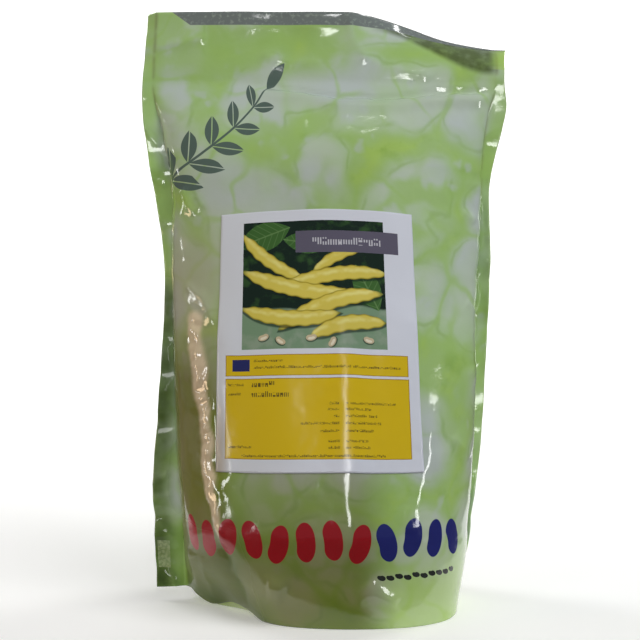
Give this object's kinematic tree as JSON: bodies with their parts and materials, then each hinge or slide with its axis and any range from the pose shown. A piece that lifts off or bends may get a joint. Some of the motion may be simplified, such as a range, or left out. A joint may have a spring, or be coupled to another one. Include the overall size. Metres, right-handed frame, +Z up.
{
  "type": "filled stand-up seed pouch",
  "caption": "Glossy printed film pouch of dry bean seeds, standing on its bottom gusset, with flat side seals, an empty header that curls back and a paper label on the front.",
  "frame": {"origin": "the middle of the flat base on the surface that the pouch stands on", "axes": "+Z up, -Y out of the printed front, +X to the right of someone facing the front"},
  "size_m": [0.213, 0.123, 0.331],
  "materials": {
    "printed_film": "glossy laminated film with a pale green marbled print and a dark header band",
    "label_paper": "satin white paper with a printed picture and yellow panels",
    "bean_seed": "smooth dry seed coat"
  },
  "bodies": {
    "root": {"front_panel": "printed_film", "back_panel": "printed_film", "bottom_gusset": "printed_film", "product_label": "label_paper", "seed_bed": "bean_seed", "bean_seed_01": "bean_seed", "bean_seed_02": "bean_seed", "bean_seed_03": "bean_seed", "bean_seed_04": "bean_seed", "bean_seed_05": "bean_seed", "bean_seed_06": "bean_seed", "bean_seed_07": "bean_seed", "bean_seed_08": "bean_seed", "bean_seed_09": "bean_seed", "bean_seed_10": "bean_seed", "bean_seed_11": "bean_seed", "bean_seed_12": "bean_seed", "bean_seed_13": "bean_seed", "bean_seed_14": "bean_seed", "bean_seed_15": "bean_seed", "bean_seed_16": "bean_seed", "bean_seed_17": "bean_seed", "bean_seed_18": "bean_seed", "bean_seed_19": "bean_seed", "bean_seed_20": "bean_seed", "bean_seed_21": "bean_seed", "bean_seed_22": "bean_seed", "bean_seed_23": "bean_seed", "bean_seed_24": "bean_seed"}
  },
  "joints": []
}
